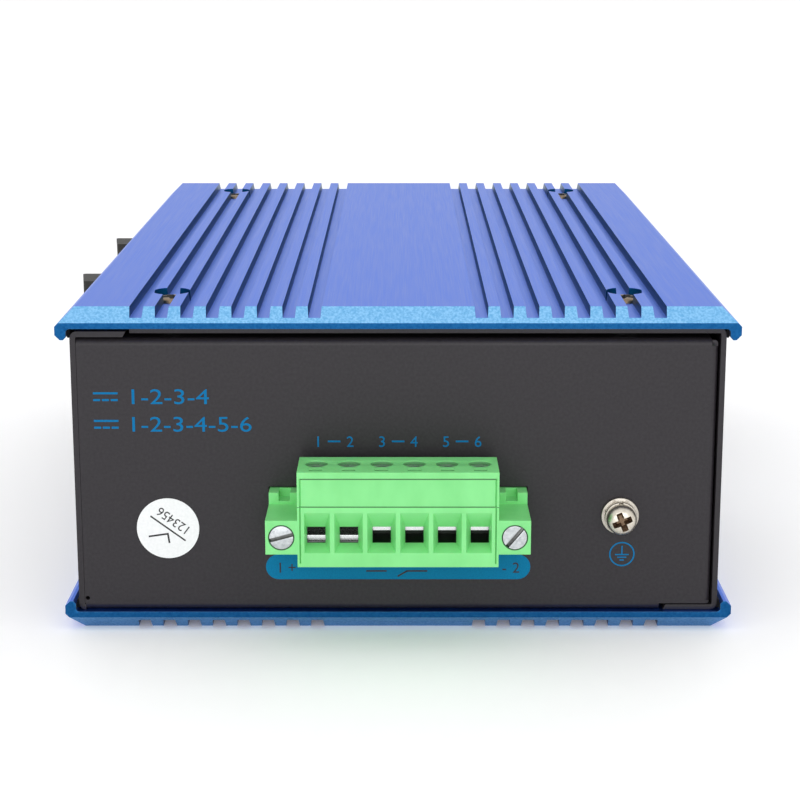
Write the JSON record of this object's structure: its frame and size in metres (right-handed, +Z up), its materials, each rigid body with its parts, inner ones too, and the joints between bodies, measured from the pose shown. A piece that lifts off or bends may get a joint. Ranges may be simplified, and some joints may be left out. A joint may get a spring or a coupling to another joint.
{
  "type": "ethernet switch",
  "caption": "Small industrial network switch: black folded case between finned blue side plates, green screw terminal and earth screw on one panel, plugged fibre and network ports on one wall.",
  "frame": {"origin": "centre of the lower side plate's footprint, on the surface the case lies on", "axes": "+X from the port wall to the rear wall, +Y from the power panel to the far panel, +Z up through the two side plates"},
  "size_m": [0.1226, 0.1688, 0.053],
  "materials": {
    "blue_anodised": "satin anodised",
    "black_case": "fine semi-gloss powder coat",
    "nickel_steel": "nickel plated",
    "zinc_steel": "zinc plated",
    "terminal_green": "fine moulded",
    "brass": "turned",
    "tinned_brass": "tinned",
    "gold_contact": "gold flash",
    "sticker_paper": "matt print",
    "board_laminate": "solder mask",
    "chip_black": "moulded",
    "led_body": "moulded",
    "clear_plastic": "clear moulded",
    "dust_plug_grey": "matt moulded",
    "clip_aluminium": "natural extruded",
    "pad_grey": "soft",
    "capacitor_can": "sleeved",
    "ferrite": "pressed"
  },
  "bodies": {
    "root": {"board_link_pins": "tinned_brass", "board_link_socket": "chip_black", "board_screws": "zinc_steel", "board_spacers": "zinc_steel", "board_standoffs": "zinc_steel", "bottom_heat_sink_plate": "blue_anodised", "bulk_capacitors": "capacitor_can", "chassis_tray": "black_case", "chip_thermal_pad": "pad_grey", "din_clip": "clip_aluminium", "din_clip_screws": "zinc_steel", "din_clip_spring": "zinc_steel", "din_press_nuts": "zinc_steel", "earth_flat_washer": "nickel_steel", "earth_press_nut": "zinc_steel", "earth_screw": "nickel_steel", "earth_spring_washer": "nickel_steel", "header_flange_nuts": "brass", "header_pins": "tinned_brass", "heat_block": "clip_aluminium", "indicator_leds": "led_body", "inspection_sticker": "sticker_paper", "lan_transformers": "chip_black", "led_light_pipe": "clear_plastic", "main_board": "board_laminate", "plate_screws": "nickel_steel", "power_board": "board_laminate", "power_chips": "chip_black", "power_inductors": "ferrite", "power_transformer": "ferrite", "press_nuts": "zinc_steel", "rear_cover": "black_case", "rj45_contacts_1": "gold_contact", "rj45_contacts_2": "gold_contact", "rj45_contacts_3": "gold_contact", "rj45_contacts_4": "gold_contact", "rj45_jack_1": "chip_black", "rj45_jack_2": "chip_black", "rj45_jack_3": "chip_black", "rj45_jack_4": "chip_black", "rj45_shield_1": "nickel_steel", "rj45_shield_2": "nickel_steel", "rj45_shield_3": "nickel_steel", "rj45_shield_4": "nickel_steel", "sfp_cage_1": "nickel_steel", "sfp_cage_2": "nickel_steel", "sfp_connector_1": "chip_black", "sfp_connector_2": "chip_black", "sfp_dust_plug_1": "dust_plug_grey", "sfp_dust_plug_2": "dust_plug_grey", "switch_chip": "chip_black", "terminal_clamp_plates": "zinc_steel", "terminal_clamp_screws": "zinc_steel", "terminal_flange_screws": "nickel_steel", "terminal_header": "terminal_green", "terminal_plug_housing": "terminal_green", "top_heat_sink_plate": "blue_anodised"}
  },
  "joints": []
}
